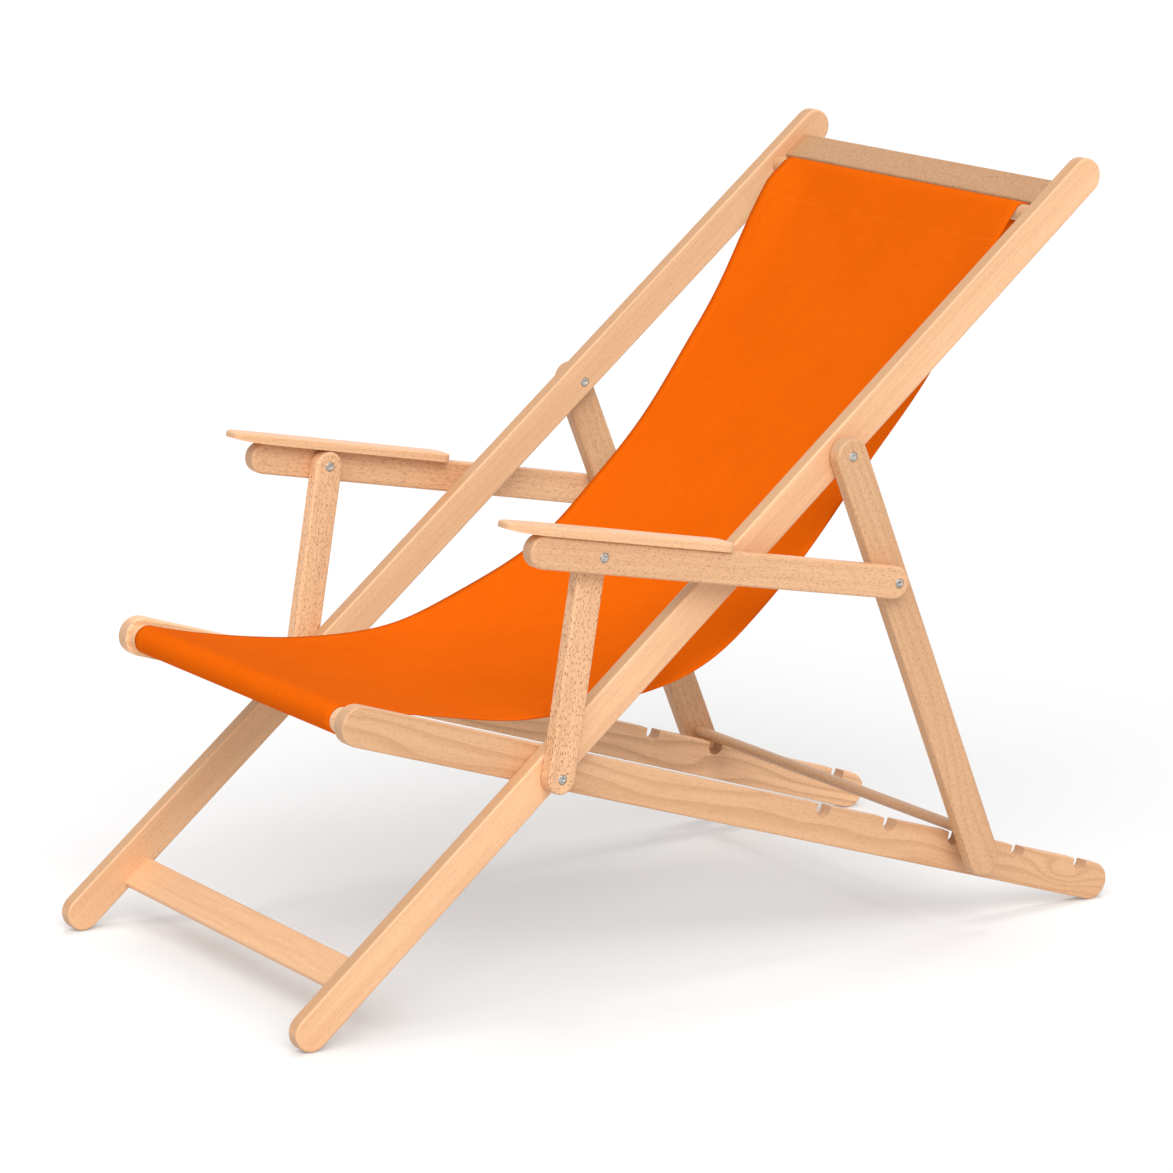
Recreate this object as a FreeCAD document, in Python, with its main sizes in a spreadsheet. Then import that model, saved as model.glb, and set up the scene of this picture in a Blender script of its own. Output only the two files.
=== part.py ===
import FreeCAD, Part
import math
import os
import Sketcher

# A wooden deck chair with armrests. The sitter faces -Y, +Z is up and +X is the sitter's left.
# The origin lies on the floor, in the middle of the footprint. All sizes are millimetres.
# Four layers of timber lie side by side on each flank, from the middle of the chair outwards:
# the notched seat rail, the main rail, the arm post and prop leg, and the arm bar with its pad.

doc = FreeCAD.newDocument("deck_chair")
sheet = doc.addObject("Spreadsheet::Sheet", "sizes")

SIZES = {
    # stock and layers
    "stock": 17.0,             # thickness of every rail, leg, post and arm bar
    "inner_half": 230.0,       # from the middle plane to a main rail's inner face
    "layer_gap": 0.5,          # between two timbers that turn on each other
    "edge_round": 3.0,         # rounding along the edges of the timbers
    "seat_edge_round": 2.0,    # rounding along the edges of the notched rails
    # main frame
    "main_length": 1220.0,     # between the centres of a main rail's round ends
    "main_width": 39.0,
    "pivot_along": 354.5,      # front foot's centre to the pivot of seat frame and post
    "prop_pivot_along": 812.0,  # front foot's centre to the pivot of the prop leg
    "pivot_drop": 6.0,         # pivots lie this far under the middle of the rails
    "top_bar_along": 1187.0,
    "top_bar_width": 36.0,
    "top_bar_thick": 18.0,
    "top_bar_drop": 4.0,
    "bottom_slat_along": 72.0,
    "bottom_slat_width": 38.0,
    "bottom_slat_thick": 10.0,
    "bottom_slat_drop": 14.0,
    "bar_round": 3.5,          # rounding of the cross bars' long edges
    "tenon_width": 20.0,
    "tenon_thick": 6.0,
    "tenon_length": 9.0,
    "tenon_gap": 0.05,
    "rod_diameter": 18.0,      # dowel in the sling's upper hem
    "rod_along": 1156.0,
    "rod_rise": 2.0,           # the rod lies this far above the middle of the rails
    "rod_seat": 8.0,           # depth of the rod's holes in the main rails
    # seat frame
    "seat_length": 980.0,      # between the centres of a seat rail's round ends
    "seat_width": 41.0,
    "seat_pivot_along": 226.0,
    "front_bar_diameter": 26.0,
    "front_bar_tenon": 16.0,
    "front_bar_along": -3.0,
    "notch_first": 588.0,      # front end's centre to the first notch
    "notch_pitch": 92.0,
    "notch_count": 5,
    "notch_used": 3,
    "notch_width": 18.0,
    "notch_depth": 13.5,
    # prop frame
    "prop_reach": 462.5,       # prop pivot to the middle of the prop bar
    "prop_tail": 31.0,         # prop bar to the centre of the leg's lower round end
    "prop_width": 38.0,
    "prop_bar_height": 12.0,
    "prop_bar_width": 22.0,
    "prop_bar_tenon": 9.0,
    "prop_bar_gap": 0.4,       # between the prop bar and the top of the seat rails
    # arms
    "post_length": 228.0,
    "post_width": 32.0,
    "arm_pivot": 144.0,        # prop pivot to the arm's pivot, along the prop leg
    "arm_pivot_lead": 5.5,     # the arm's pivot lies this far ahead of the leg's middle
    "arm_height": 34.0,
    "arm_front": 88.0,         # front end of the arm bar ahead of the post's pivot
    "arm_rear": 13.0,          # rear end of the arm bar behind the leg's pivot
    "pad_front": 120.0,        # tip of the pad ahead of the post's pivot
    "pad_length": 277.0,
    "pad_width": 36.0,
    "pad_thick": 9.0,
    "pad_inset": 3.5,          # pad's inner edge outside the main rail's outer face
    "pad_nose": 14.0,          # radius of the pad's slim front end
    "pad_taper": 70.0,         # length over which the pad widens
    "pad_corner": 12.0,
    "pad_round": 2.5,
    "pad_tip_rise": 2.5,       # how far the underside of the nose rises to the tip
    "pad_tip_length": 40.0,    # length over which it rises
    "dowel_diameter": 8.0,
    "dowel_depth": 6.0,        # how far a dowel goes into the pad
    "dowel_length": 24.0,
    "dowel_first": 20.0,       # first dowel behind the post's pivot
    "dowel_pitch": 100.0,
    # pivots
    "bolt_diameter": 6.0,
    "bolt_gap": 0.05,          # running clearance round a bolt
    "head_diameter": 10.0,
    "head_thick": 2.4,
    "head_gap": 0.3,           # clearance round a sunk head
    "head_sink": 0.2,          # how far a head lies under the surface
    "washer_diameter": 18.0,
    "washer_thick": 0.4,
    # sling
    "sling_half": 206.0,       # half the width of the cloth
    "sling_thick": 2.0,
    "sling_gap": 0.3,          # between the cloth and the bars that carry it
    "sling_low_along": 679.0,  # where the cloth hangs lowest under the main rail
    "sling_low": 87.0,
    "sling_bend": 408.0,       # radius of the bend between back and seat
    "sling_turn": 41.8,        # angle of that bend towards the seat
    "sling_back_turn": 7.0,    # and up the back
    "sling_wrap": 205.0,       # how far the hems go round their bars
}
for row, (alias, value) in enumerate(SIZES.items(), 1):
    sheet.set(f"A{row}", alias)
    sheet.set(f"B{row}", str(value))
    sheet.setAlias(f"B{row}", alias)
doc.recompute()


def size(alias):
    return float(sheet.get(alias))


# Linkage at rest
# The pivots of the main rail form the base line. In the plane of the chair's side,
# points are (along, across) measured from the main pivot, along the main rail and up from it.
base_line = size("prop_pivot_along") - size("pivot_along")
folded_span = base_line + size("arm_pivot") - size("post_length")
arm_link = math.hypot(folded_span, size("arm_pivot_lead"))  # so that the four bars fold flat
seat_rear = size("seat_length") - size("seat_pivot_along")
notch_at = size("notch_first") + (size("notch_used") - 1) * size("notch_pitch")
bar_along = notch_at - size("seat_pivot_along")
bar_across = size("pivot_drop") + size("seat_width") / 2 + size("prop_bar_gap") + size("prop_bar_height") / 2


def triangle_angle(left, right, opposite):
    """Angle between two sides of a triangle, in degrees."""
    cosine = (left ** 2 + right ** 2 - opposite ** 2) / (2 * left * right)
    return math.degrees(math.acos(cosine))


def polar(length, degrees):
    return length * math.cos(math.radians(degrees)), length * math.sin(math.radians(degrees))


bar_distance = math.hypot(bar_along, bar_across)
bar_angle = math.degrees(math.atan2(bar_across, bar_along))
seat_turn = triangle_angle(bar_distance, base_line, size("prop_reach")) + bar_angle

# The chair stands on the round ends of its main and seat rails, which sets the main rail's slope.
foot_main = (-size("pivot_along"), size("pivot_drop"))
foot_seat = (seat_rear, size("pivot_drop"))


def turned(point, degrees):
    cosine, sine = math.cos(math.radians(degrees)), math.sin(math.radians(degrees))
    return point[0] * cosine - point[1] * sine, point[0] * sine + point[1] * cosine


def foot_difference(slope):
    main_low = turned(foot_main, slope)[1] - size("main_width") / 2
    seat_low = turned(foot_seat, slope - seat_turn)[1] - size("seat_width") / 2
    return main_low - seat_low


flat, steep = 5.0, 85.0
for step in range(60):
    main_slope = (flat + steep) / 2
    if foot_difference(main_slope) > 0:
        flat = main_slope
    else:
        steep = main_slope
seat_slope = main_slope - seat_turn

front_reach = turned(foot_main, main_slope)[0] - size("main_width") / 2
rear_reach = turned(foot_seat, seat_slope)[0] + size("seat_width") / 2
main_pivot = (-(front_reach + rear_reach) / 2, size("main_width") / 2 - turned(foot_main, main_slope)[1])


def moved(origin, point, slope):
    """A point of a timber's own frame, in the plane of the chair's side."""
    across, up = turned(point, slope)
    return origin[0] + across, origin[1] + up


prop_pivot = moved(main_pivot, (base_line, 0.0), main_slope)
bar_centre = moved(main_pivot, (bar_along, bar_across), seat_slope)
prop_slope = math.degrees(math.atan2(bar_centre[1] - prop_pivot[1], bar_centre[0] - prop_pivot[0]))
arm_pivot = moved(prop_pivot, (size("arm_pivot"), -size("arm_pivot_lead")), prop_slope)
arm_span = math.dist(main_pivot, arm_pivot)
span_slope = math.degrees(math.atan2(arm_pivot[1] - main_pivot[1], arm_pivot[0] - main_pivot[0]))
post_slope = span_slope + triangle_angle(size("post_length"), arm_span, arm_link)
post_pivot = moved(main_pivot, (size("post_length"), 0.0), post_slope)
arm_slope = math.degrees(math.atan2(arm_pivot[1] - post_pivot[1], arm_pivot[0] - post_pivot[0]))
main_foot = moved(main_pivot, foot_main, main_slope)
seat_front = moved(main_pivot, (-size("seat_pivot_along"), size("pivot_drop")), seat_slope)

# Layers of the left flank: where each timber's inner face lies
layer_step = size("stock") + size("layer_gap")
main_layer = size("inner_half")
seat_layer = main_layer - layer_step
post_layer = main_layer + layer_step
arm_layer = post_layer + layer_step

SIDEWAYS = FreeCAD.Rotation(FreeCAD.Vector(1, 1, 1), 120)  # turns x, y, z of a timber to Y, Z, X


def side_frame(origin, slope, layer):
    """Frame of a timber: x along it, y across it and z outwards, from its inner face."""
    turn = FreeCAD.Rotation(FreeCAD.Vector(1, 0, 0), slope).multiply(SIDEWAYS)
    return FreeCAD.Placement(FreeCAD.Vector(layer, origin[0], origin[1]), turn)


pieces = []


def keep(piece, label):
    piece.Label = label
    pieces.append(piece)
    return piece


def origin_plane(body, role):
    return next(plane for plane in body.Origin.OriginFeatures if plane.Role == role)


def new_sketch(body, name, height=None, role="XY_Plane"):
    sketch = body.newObject("Sketcher::SketchObject", name)
    sketch.AttachmentSupport = [(origin_plane(body, role), "")]
    sketch.MapMode = "FlatFace"
    if height:
        sketch.setExpression("AttachmentOffset.Base.z", height)
    return sketch


def value_of(expression):
    return float(sheet.evalExpression(expression))


def bound(sketch, constraint, expression):
    """Adds a dimension to a sketch and binds it to the sheet."""
    index = sketch.addConstraint(constraint)
    sketch.setExpression(f"Constraints[{index}]", expression)


def place_point(sketch, geometry, point, along, across):
    """Holds a point of a sketch at two distances from the sketch's origin."""
    for kind, expression in (("DistanceX", along), ("DistanceY", across)):
        if abs(value_of(expression)) < 1e-9:
            axis = -2 if kind == "DistanceX" else -1
            sketch.addConstraint(Sketcher.Constraint("PointOnObject", geometry, point, axis))
        else:
            bound(sketch, Sketcher.Constraint(kind, -1, 1, geometry, point, value_of(expression)), expression)


def draw_slot(sketch, start, length, width, across="0"):
    """A long hole's outline: two straight sides and two half round ends, along the sketch's x."""
    x, y, long, radius = (value_of(item) for item in (start, across, length, f"({width}) / 2"))
    z = FreeCAD.Vector(0, 0, 1)
    left, right = FreeCAD.Vector(x, y, 0), FreeCAD.Vector(x + long, y, 0)
    up = FreeCAD.Vector(0, radius, 0)
    quarter = math.pi / 2
    sketch.addGeometry(Part.ArcOfCircle(Part.Circle(left, z, radius), quarter, 3 * quarter))
    sketch.addGeometry(Part.LineSegment(left + up, right + up))
    sketch.addGeometry(Part.ArcOfCircle(Part.Circle(right, z, radius), -quarter, quarter))
    sketch.addGeometry(Part.LineSegment(right - up, left - up))
    for first, end, second, start_point in ((0, 1, 1, 1), (1, 2, 2, 2), (2, 1, 3, 1), (3, 2, 0, 2)):
        sketch.addConstraint(Sketcher.Constraint("Tangent", first, end, second, start_point))
    sketch.addConstraint(Sketcher.Constraint("Horizontal", 1))
    sketch.addConstraint(Sketcher.Constraint("Equal", 0, 2))
    bound(sketch, Sketcher.Constraint("Radius", 0, radius), f"({width}) / 2")
    bound(sketch, Sketcher.Constraint("DistanceX", 0, 3, 2, 3, long), length)
    place_point(sketch, 0, 3, start, across)


def pad(body, sketch, length, middle=False):
    feature = body.newObject("PartDesign::Pad", "pad_" + sketch.Name)
    feature.Profile = sketch
    feature.Midplane = middle
    feature.setExpression("Length", length)
    doc.recompute()
    return feature


def cut(body, sketch, depth, from_inner):
    """A pocket into the timber, from its inner or its outer face."""
    before = body.Shape.Volume
    feature = body.newObject("PartDesign::Pocket", "cut_" + sketch.Name)
    feature.Profile = sketch
    feature.Reversed = from_inner
    feature.setExpression("Length", depth)
    doc.recompute()
    if body.Shape.Volume >= before:
        raise RuntimeError(f"{body.Name}: {sketch.Name} cuts nothing")
    return feature


def drill(body, name, along, across, diameter, depth, from_inner=True, height=None, role="XY_Plane"):
    sketch = new_sketch(body, name, height, role)
    centre = FreeCAD.Vector(value_of(along), value_of(across), 0)
    circle = Part.Circle(centre, FreeCAD.Vector(0, 0, 1), value_of(diameter) / 2)
    sketch.addGeometry(circle)
    bound(sketch, Sketcher.Constraint("Diameter", 0, value_of(diameter)), diameter)
    place_point(sketch, 0, 3, along, across)
    return cut(body, sketch, depth, from_inner)


def round_edges(body, feature, radius):
    """Rounds the outline of both faces of a padded timber."""
    thick = feature.Shape.BoundBox
    names = []
    for number, edge in enumerate(feature.Shape.Edges, 1):
        box = edge.BoundBox
        on_face = any(abs(box.ZMin - z) < 1e-6 and abs(box.ZMax - z) < 1e-6 for z in (thick.ZMin, thick.ZMax))
        if on_face:
            names.append(f"Edge{number}")
    fillet = body.newObject("PartDesign::Fillet", "round_" + body.Name)
    fillet.Base = (feature, names)
    fillet.setExpression("Radius", radius)
    doc.recompute()
    return fillet


def timber(label, start, length, width, radius="sizes.edge_round"):
    """A plank with half round ends and softened edges, lying in its own side frame."""
    body = doc.addObject("PartDesign::Body", label)
    sketch = new_sketch(body, label + "_outline")
    draw_slot(sketch, start, length, width)
    plank = pad(body, sketch, "sizes.stock")
    round_edges(body, plank, radius)
    return body


def pivot_hole(body, name, along, across, head):
    """A bolt's hole through a timber, with a sunk seat for a head on the face that head names."""
    diameter = "sizes.bolt_diameter + 2 * sizes.bolt_gap"
    drill(body, name, along, across, diameter, "sizes.stock")
    if head:
        seat = "sizes.head_diameter + 2 * sizes.head_gap"
        depth = "sizes.head_thick + sizes.head_sink + sizes.bolt_gap"
        outer = head == "outer"
        height = "sizes.stock" if outer else None
        drill(body, name + "_seat", along, across, seat, depth, not outer, height)


def place_pair(body, name, frame):
    """Sets the left piece in place and mirrors it to the right."""
    body.Placement = frame
    left = keep(body, name + "_left")
    right = doc.addObject("Part::Mirroring", name + "_right")
    right.Source = body
    right.Normal = FreeCAD.Vector(1, 0, 0)
    keep(right, name + "_right")
    return left


# Main rails: front foot to the top of the back, with holes for both pivots, both cross bars and the rod
main_rail = timber("main_rail", "0", "sizes.main_length", "sizes.main_width")
drop = "-sizes.pivot_drop"
pivot_hole(main_rail, "main_pivot", "sizes.pivot_along", drop, None)
pivot_hole(main_rail, "prop_pivot", "sizes.prop_pivot_along", drop, "inner")
rod_hole = "sizes.rod_diameter + 2 * sizes.tenon_gap"
rod_depth = "sizes.rod_seat + sizes.tenon_gap"
drill(main_rail, "rod_hole", "sizes.rod_along", "sizes.rod_rise", rod_hole, rod_depth)


def mortise(body, bar):
    sketch = new_sketch(body, bar + "_mortise")
    span = "sizes.tenon_width - sizes.tenon_thick"
    start = f"sizes.{bar}_along - ({span}) / 2"
    width = "sizes.tenon_thick + 2 * sizes.tenon_gap"
    draw_slot(sketch, start, span, width, f"-sizes.{bar}_drop")
    cut(body, sketch, "sizes.tenon_length + sizes.tenon_gap", True)


mortise(main_rail, "top_bar")
mortise(main_rail, "bottom_slat")
place_pair(main_rail, "main_rail", side_frame(main_foot, main_slope, main_layer))


# Cross bars of the main frame: flat bars with a stub tenon at each end
def cross_bar(label):
    body = doc.addObject("PartDesign::Body", label)
    sketch = new_sketch(body, label + "_section")
    along, across, wide, thick = (f"sizes.{label}_{word}" for word in ("along", "drop", "width", "thick"))
    middle = FreeCAD.Vector(value_of(along), -value_of(across), 0)
    half = FreeCAD.Vector(value_of(wide) / 2, value_of(thick) / 2, 0)
    signs = ((-1, -1), (1, -1), (1, 1), (-1, 1))
    corners = [middle + FreeCAD.Vector(half.x * x, half.y * y, 0) for x, y in signs]
    for index in range(4):
        sketch.addGeometry(Part.LineSegment(corners[index], corners[(index + 1) % 4]))
    for index in range(4):
        sketch.addConstraint(Sketcher.Constraint("Coincident", index, 2, (index + 1) % 4, 1))
        sketch.addConstraint(Sketcher.Constraint("Horizontal" if index % 2 == 0 else "Vertical", index))
    bound(sketch, Sketcher.Constraint("DistanceX", 0, 1, 0, 2, value_of(wide)), wide)
    bound(sketch, Sketcher.Constraint("DistanceY", 1, 1, 1, 2, value_of(thick)), thick)
    place_point(sketch, 0, 1, f"{along} - {wide} / 2", f"-{across} - {thick} / 2")
    bar = pad(body, sketch, "2 * sizes.inner_half", middle=True)
    ends = size("inner_half")
    long_edges = [
        f"Edge{number}" for number, edge in enumerate(bar.Shape.Edges, 1)
        if abs(edge.BoundBox.ZLength - 2 * ends) < 1e-6
    ]
    fillet = body.newObject("PartDesign::Fillet", "round_" + label)
    fillet.Base = (bar, long_edges)
    fillet.setExpression("Radius", "sizes.bar_round")
    doc.recompute()
    tenon = new_sketch(body, label + "_tenon")
    span = "sizes.tenon_width - sizes.tenon_thick"
    draw_slot(tenon, f"{along} - ({span}) / 2", span, "sizes.tenon_thick", f"-{across}")
    pad(body, tenon, "2 * (sizes.inner_half + sizes.tenon_length)", middle=True)
    body.Placement = side_frame(main_foot, main_slope, 0.0)
    keep(body, label)


cross_bar("top_bar")
cross_bar("bottom_slat")


# Round bars: dowels across the chair, made of cylinders that lie along X
def round_bar(label, centre, spans):
    """One solid of coaxial cylinders. Each span is a diameter and the half length that it covers."""
    parts = []
    for number, (diameter, half) in enumerate(spans):
        cylinder = doc.addObject("Part::Cylinder", f"{label}_{number}")
        cylinder.setExpression("Radius", f"({diameter}) / 2")
        cylinder.setExpression("Height", f"2 * ({half})")
        start = FreeCAD.Vector(-value_of(half), centre[0], centre[1])
        cylinder.Placement = FreeCAD.Placement(start, SIDEWAYS)
        parts.append(cylinder)
    if len(parts) == 1:
        return keep(parts[0], label)
    whole = doc.addObject("Part::MultiFuse", label)
    whole.Shapes = parts
    return keep(whole, label)


rod_centre = moved(main_foot, (size("rod_along"), size("rod_rise")), main_slope)
round_bar("sling_rod", rod_centre, [("sizes.rod_diameter", "sizes.inner_half + sizes.rod_seat")])

# Seat rails: front bar to the rear foot, with a row of notches for the prop bar
seat_rail = timber("seat_rail", "0", "sizes.seat_length", "sizes.seat_width", "sizes.seat_edge_round")
pivot_hole(seat_rail, "seat_pivot", "sizes.seat_pivot_along", drop, "inner")
tenon_hole = "sizes.front_bar_tenon + 2 * sizes.tenon_gap"
tenon_depth = "sizes.tenon_length + sizes.tenon_gap"
drill(seat_rail, "front_bar_hole", "sizes.front_bar_along", "0", tenon_hole, tenon_depth)
notch = new_sketch(seat_rail, "notch")
notch_floor = "sizes.seat_width / 2 - sizes.notch_depth + sizes.notch_width / 2"
notch_x, notch_radius, notch_y = (value_of(item) for item in
                                  ("sizes.notch_first", "sizes.notch_width / 2", notch_floor))
notch_top = value_of("sizes.seat_width")
z_axis = FreeCAD.Vector(0, 0, 1)
floor_centre = FreeCAD.Vector(notch_x, notch_y, 0)
notch.addGeometry(Part.ArcOfCircle(Part.Circle(floor_centre, z_axis, notch_radius), math.pi, 2 * math.pi))
front_side, rear_side = notch_x - notch_radius, notch_x + notch_radius
wall_points = ((rear_side, notch_y), (rear_side, notch_top), (front_side, notch_top), (front_side, notch_y))
walls = [FreeCAD.Vector(x, y, 0) for x, y in wall_points]
for start, end in zip(walls, walls[1:]):
    notch.addGeometry(Part.LineSegment(start, end))
notch.addConstraint(Sketcher.Constraint("Tangent", 0, 2, 1, 1))
notch.addConstraint(Sketcher.Constraint("Coincident", 1, 2, 2, 1))
notch.addConstraint(Sketcher.Constraint("Coincident", 2, 2, 3, 1))
notch.addConstraint(Sketcher.Constraint("Tangent", 3, 2, 0, 1))
notch.addConstraint(Sketcher.Constraint("Vertical", 1))
notch.addConstraint(Sketcher.Constraint("Horizontal", 2))
bound(notch, Sketcher.Constraint("Radius", 0, notch_radius), "sizes.notch_width / 2")
bound(notch, Sketcher.Constraint("DistanceY", -1, 1, 1, 2, notch_top), "sizes.seat_width")
place_point(notch, 0, 3, "sizes.notch_first", notch_floor)
first_notch = cut(seat_rail, notch, "sizes.stock", True)
notches = seat_rail.newObject("PartDesign::LinearPattern", "notches")
notches.Originals = [first_notch]
notches.Direction = (notch, ["H_Axis"])
notches.setExpression("Length", "sizes.notch_pitch * (sizes.notch_count - 1)")
notches.setExpression("Occurrences", "sizes.notch_count")
seat_rail.Tip = notches
doc.recompute()
place_pair(seat_rail, "seat_rail", side_frame(seat_front, seat_slope, seat_layer))

front_bar_centre = moved(seat_front, (size("front_bar_along"), 0.0), seat_slope)
seat_inner = "sizes.inner_half - sizes.stock - sizes.layer_gap"
round_bar("front_bar", front_bar_centre, [
    ("sizes.front_bar_diameter", seat_inner),
    ("sizes.front_bar_tenon", f"{seat_inner} + sizes.tenon_length"),
])

# Prop legs: from their pivot on the main rails down to the prop bar
prop_leg = timber("prop_leg", "0", "sizes.prop_reach + sizes.prop_tail", "sizes.prop_width")
pivot_hole(prop_leg, "leg_pivot", "0", "0", "outer")
pivot_hole(prop_leg, "leg_arm_pivot", "sizes.arm_pivot", "-sizes.arm_pivot_lead", "inner")
leg_hole = "sizes.prop_bar_tenon + 2 * sizes.tenon_gap"
drill(prop_leg, "prop_bar_hole", "sizes.prop_reach", "0", leg_hole, tenon_depth)
place_pair(prop_leg, "prop_leg", side_frame(prop_pivot, prop_slope, post_layer))

# Prop bar: an oval bar that lies over the third notch of both seat rails
prop_bar = doc.addObject("PartDesign::Body", "prop_bar")
oval = new_sketch(prop_bar, "prop_bar_section")
half_wide, half_high = size("prop_bar_width") / 2, size("prop_bar_height") / 2
oval_ends = (FreeCAD.Vector(half_wide, 0, 0), FreeCAD.Vector(0, half_high, 0))
oval.addGeometry(Part.Ellipse(*oval_ends, FreeCAD.Vector()))
oval.exposeInternalGeometry(0)
oval.addConstraint(Sketcher.Constraint("Coincident", 0, 3, -1, 1))
oval.addConstraint(Sketcher.Constraint("Horizontal", 1))
bound(oval, Sketcher.Constraint("Distance", 1, 2 * half_wide), "sizes.prop_bar_width")
bound(oval, Sketcher.Constraint("Distance", 2, 2 * half_high), "sizes.prop_bar_height")
leg_inner = "sizes.inner_half + sizes.stock + sizes.layer_gap"
pad(prop_bar, oval, f"2 * ({leg_inner})", middle=True)
oval_tenon = new_sketch(prop_bar, "prop_bar_tenon")
oval_tenon.addGeometry(Part.Circle(FreeCAD.Vector(), z_axis, size("prop_bar_tenon") / 2))
oval_tenon.addConstraint(Sketcher.Constraint("Coincident", 0, 3, -1, 1))
bound(oval_tenon, Sketcher.Constraint("Diameter", 0, size("prop_bar_tenon")), "sizes.prop_bar_tenon")
pad(prop_bar, oval_tenon, f"2 * ({leg_inner} + sizes.tenon_length)", middle=True)
prop_bar.Placement = side_frame(bar_centre, seat_slope, 0.0)
keep(prop_bar, "prop_bar")

# Arm posts: upright links from the main pivot to the arms
arm_post = timber("arm_post", "0", "sizes.post_length", "sizes.post_width")
pivot_hole(arm_post, "post_main_pivot", "0", "0", "outer")
pivot_hole(arm_post, "post_arm_pivot", "sizes.post_length", "0", "inner")
place_pair(arm_post, "arm_post", side_frame(main_pivot, post_slope, post_layer))

# Arm bars: from ahead of the posts back to the prop legs
sheet.set("D1", str(arm_link))
sheet.setAlias("D1", "arm_link")
doc.recompute()
arm_half = "sizes.arm_height / 2"
arm_start = f"{arm_half} - sizes.arm_front"
arm_length = "sizes.arm_link + sizes.arm_rear + sizes.arm_front - sizes.arm_height"
arm_bar = timber("arm_bar", arm_start, arm_length, "sizes.arm_height")
pivot_hole(arm_bar, "arm_post_pivot", "0", "0", "outer")
pivot_hole(arm_bar, "arm_leg_pivot", "sizes.arm_link", "0", "outer")
dowel_places = ["sizes.dowel_first", "sizes.dowel_first + sizes.dowel_pitch"]
dowel_hole = "sizes.dowel_diameter + 2 * sizes.tenon_gap"
for number, along in enumerate(dowel_places):
    drill(arm_bar, f"arm_dowel_hole_{number}", along, "sizes.stock / 2", dowel_hole,
          "sizes.dowel_length - sizes.dowel_depth", True, f"-({arm_half})", "XZ_Plane")
place_pair(arm_bar, "arm_bar", side_frame(post_pivot, arm_slope, arm_layer))

# Arm pads: slim boards on the arm bars, narrow at the front and wider at the back
arm_pad = doc.addObject("PartDesign::Body", "arm_pad")
plan = new_sketch(arm_pad, "arm_pad_plan", role="XZ_Plane")
pad_inner = main_layer + size("stock") + size("pad_inset")
pad_middle = pad_inner + size("pad_width") / 2
tip, nose, half_pad = -size("pad_front"), size("pad_nose"), size("pad_width") / 2
shoulder, heel = tip + size("pad_taper"), tip + size("pad_length")
corner = size("pad_corner")


def plan_point(along, across):
    return FreeCAD.Vector(along, across, 0)


nose_side = plan_point(tip + nose, nose)
flank_along, flank_across = tip + (nose + size("pad_taper")) / 2, half_pad - (half_pad - nose) / 4
outline = [
    Part.Arc(plan_point(tip + nose, -nose), plan_point(tip, 0), nose_side),
    Part.Arc(nose_side, plan_point(flank_along, flank_across), plan_point(shoulder, half_pad)),
    Part.LineSegment(plan_point(shoulder, half_pad), plan_point(heel - corner, half_pad)),
    Part.Arc(plan_point(heel - corner, half_pad),
             plan_point(heel - corner + corner * math.sqrt(0.5), half_pad - corner + corner * math.sqrt(0.5)),
             plan_point(heel, half_pad - corner)),
    Part.LineSegment(plan_point(heel, half_pad - corner), plan_point(heel, corner - half_pad)),
    Part.Arc(plan_point(heel, corner - half_pad),
             plan_point(heel - corner + corner * math.sqrt(0.5), corner - half_pad - corner * math.sqrt(0.5)),
             plan_point(heel - corner, -half_pad)),
    Part.LineSegment(plan_point(heel - corner, -half_pad), plan_point(shoulder, -half_pad)),
    Part.Arc(plan_point(shoulder, -half_pad), plan_point(flank_along, -flank_across),
             plan_point(tip + nose, -nose)),
]
for edge in outline:
    plan.addGeometry(edge)
board = arm_pad.newObject("PartDesign::Pad", "pad_board")
board.Profile = plan
board.Reversed = True
board.setExpression("Length", "sizes.pad_thick")
doc.recompute()
nose_cut = new_sketch(arm_pad, "arm_pad_nose")
rise, rise_length = size("pad_tip_rise"), size("pad_tip_length")
nose_corners = [plan_point(tip, 0.0), plan_point(tip, rise), plan_point(tip + rise_length, 0.0)]
nose_middle = plan_point(tip + rise_length / 2, rise / 4)
nose_cut.addGeometry(Part.LineSegment(nose_corners[0], nose_corners[1]))
nose_cut.addGeometry(Part.Arc(nose_corners[1], nose_middle, nose_corners[2]))
nose_cut.addGeometry(Part.LineSegment(nose_corners[2], nose_corners[0]))
nose_pocket = arm_pad.newObject("PartDesign::Pocket", "cut_arm_pad_nose")
nose_pocket.Profile = nose_cut
nose_pocket.Midplane = True
nose_pocket.setExpression("Length", "2 * sizes.pad_width")
doc.recompute()
board_box = nose_pocket.Shape.BoundBox
rim = [
    f"Edge{number}" for number, edge in enumerate(nose_pocket.Shape.Edges, 1)
    if edge.BoundBox.YLength < 1e-6 and abs(edge.BoundBox.YMax - board_box.YMax) < 1e-6
]
pad_fillet = arm_pad.newObject("PartDesign::Fillet", "round_arm_pad")
pad_fillet.Base = (nose_pocket, rim)
pad_fillet.setExpression("Radius", "sizes.pad_round")
doc.recompute()
dowel_across = f"sizes.inner_half + 2 * sizes.stock + 2 * sizes.layer_gap + sizes.stock / 2 - {pad_middle}"
for number, along in enumerate(dowel_places):
    drill(arm_pad, f"pad_dowel_hole_{number}", along, dowel_across, dowel_hole, "sizes.dowel_depth", False,
          None, "XZ_Plane")
pad_origin = moved(post_pivot, (0.0, size("arm_height") / 2), arm_slope)
place_pair(arm_pad, "arm_pad", side_frame(pad_origin, arm_slope, pad_middle))


# Hardware: coaxial cylinders on the left flank, mirrored to the right and kept as one group
def disc(label, number, centre, slope, spot, radius, height):
    cylinder = doc.addObject("Part::Cylinder", f"{label}_{number}")
    cylinder.setExpression("Radius", radius)
    cylinder.setExpression("Height", height)
    cylinder.Placement = side_frame(centre, slope, spot)
    return cylinder


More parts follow.
